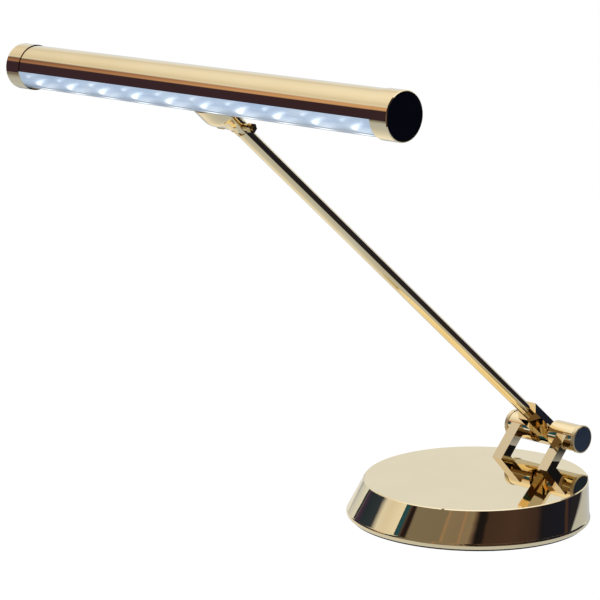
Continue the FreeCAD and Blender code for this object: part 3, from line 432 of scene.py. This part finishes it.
# height of the dark zone's upper edge by azimuth, in units of 90 degrees
edge = w.ramp(azn, [(0.0, 0.0), (az(-142), 0.0), (az(-137), 26 / 90), (az(-108), 27 / 90), (az(-96), 25 / 90),
                    (az(-88.6), 26 / 90), (az(-87.6), 62 / 90), (az(0), 62 / 90), (az(10), 62 / 90), (az(64), 52 / 90),
                    (az(118), 40 / 90), (az(130), 30 / 90), (az(135), 0.0), (1.0, 0.0)])
edge_deg = w.math("MULTIPLY", edge, 90.0)
gap = w.math("SUBTRACT", edge_deg, elv)
mask = w.math("MULTIPLY", w.math("MULTIPLY_ADD", gap, 1 / 3.0, 0.5, clamp=True),
              w.math("GREATER_THAN", edge, 0.02))
feat = w.ramp(azn, [
    (az(-142), (0.50, 0.47, 0.42)), (az(-136), (0.055, 0.035, 0.085)), (az(-124), (0.045, 0.028, 0.09)),
    (az(-118), (0.055, 0.036, 0.075)), (az(-112), (0.06, 0.04, 0.07)), (az(-103), (0.045, 0.026, 0.048)),
    (az(-89), (0.042, 0.023, 0.036)), (az(-87), (0.018, 0.085, 0.13)), (az(-84), (0.018, 0.085, 0.13)),
    (az(-82), (0.09, 0.06, 0.05)), (az(-80), (0.02, 0.012, 0.015)), (az(-76), (0.02, 0.012, 0.015)), (az(-74), (0.22, 0.19, 0.15)),
    (az(-37), (0.215, 0.185, 0.145)), (az(-35), (0.37, 0.245, 0.155)), (az(-32), (0.25, 0.205, 0.155)),
    (az(-17), (0.24, 0.195, 0.15)), (az(-15), (0.37, 0.235, 0.15)), (az(-12), (0.25, 0.205, 0.155)), (az(-5), (0.27, 0.215, 0.155)),
    (az(0), (0.09, 0.06, 0.05)), (az(2), (0.012, 0.01, 0.012)),
    (az(9), (0.014, 0.011, 0.012)), (az(12), (0.058, 0.034, 0.027)), (az(40), (0.068, 0.04, 0.032)),
    (az(62), (0.05, 0.03, 0.028)), (az(68), (0.012, 0.012, 0.02)), (az(96), (0.012, 0.014, 0.03)),
    (az(99), (0.075, 0.042, 0.03)), (az(103), (0.013, 0.014, 0.032)), (az(130), (0.012, 0.018, 0.045)),
    (az(135), (0.35, 0.36, 0.38))])
warm = w.ramp(azn, [(az(-136), (0.02, 0.03, 0.05)), (az(-118), (0.03, 0.045, 0.07)), (az(-112), (0.05, 0.045, 0.06)),
                    (az(-108), (0.22, 0.11, 0.08)), (az(-102), (0.44, 0.23, 0.15)), (az(-97), (0.66, 0.40, 0.25)),
                    (az(-89), (0.66, 0.42, 0.27))])
# the warm strip lies just under the edge
band = w.math("MULTIPLY", w.math("SUBTRACT", 1.0, w.math("MULTIPLY_ADD", gap, 1 / 2.5, -9.5 / 2.5, clamp=True)),
              w.math("MULTIPLY", w.math("GREATER_THAN", gap, -3.0), w.math("LESS_THAN", azr, -89.0)))
room = w.mix(band, feat, warm)
up = w.ramp(w.math("MULTIPLY_ADD", elv, 1 / 180, 0.5), [(0.44, (0.22, 0.21, 0.20)), (0.50, (0.60, 0.63, 0.69)),
                                                       (0.56, (0.82, 0.86, 0.90)), (0.64, (0.82, 0.84, 0.86)),
                                                       (0.68, (0.78, 0.73, 0.66)), (0.72, (0.92, 0.89, 0.84)), (0.78, (1.08, 1.06, 1.02)),
                                                       (0.90, (1.2, 1.24, 1.34)), (1.0, (1.25, 1.32, 1.45))])
sky = w.mix(mask, up, room)
bg = w.add("ShaderNodeBackground")
w.link(sky, bg.inputs["Color"])
bg.inputs["Strength"].default_value = 1.0
plain = w.add("ShaderNodeBackground")
plain.inputs["Color"].default_value = (1, 1, 1, 1)
plain.inputs["Strength"].default_value = 1.0
lp = w.add("ShaderNodeLightPath")
mx = w.add("ShaderNodeMixShader")
w.link(lp.outputs["Is Camera Ray"], mx.inputs[0])
w.link(bg.outputs[0], mx.inputs[1])
w.link(plain.outputs[0], mx.inputs[2])
wo = w.add("ShaderNodeOutputWorld")
w.link(mx.outputs[0], wo.inputs["Surface"])


def soft_light(name, loc, aim, size, power, glossy=False):
    ld = bpy.data.lights.new(name, "AREA")
    ld.shape = "SQUARE"
    ld.size = size
    ld.energy = power
    lo = bpy.data.objects.new(name, ld)
    lo.location = loc
    lo.rotation_euler = (Vector(aim) - Vector(loc)).to_track_quat("-Z", "Y").to_euler()
    lo.visible_glossy = glossy
    scene.collection.objects.link(lo)


soft_light("key", (-0.6, 0.4, 1.9), (-0.05, -0.05, 0.1), 1.6, 42.0)
soft_light("fill", (1.2, -1.4, 1.4), (0.0, -0.05, 0.12), 1.2, 10.0)

# ---------------------------------------------------------------------- camera
cam_d = bpy.data.cameras.new("camera")
cam_d.sensor_width = 36.0
cam_d.lens = 148.52
cam_d.clip_start = 0.05
cam_d.clip_end = 50.0
cam = bpy.data.objects.new("camera", cam_d)
scene.collection.objects.link(cam)
fwd = Vector((-0.71436396, 0.67206455, -0.19497019)).normalized()
upv = Vector((-0.14824994, 0.12694641, 0.98076836))
right = fwd.cross(upv).normalized()
upv = right.cross(fwd).normalized()
rot = Matrix((right, upv, -fwd)).transposed().to_4x4()
cam.matrix_world = Matrix.Translation(Vector((1.04908938, -1.13780491, 0.44879416))) @ rot
scene.camera = cam
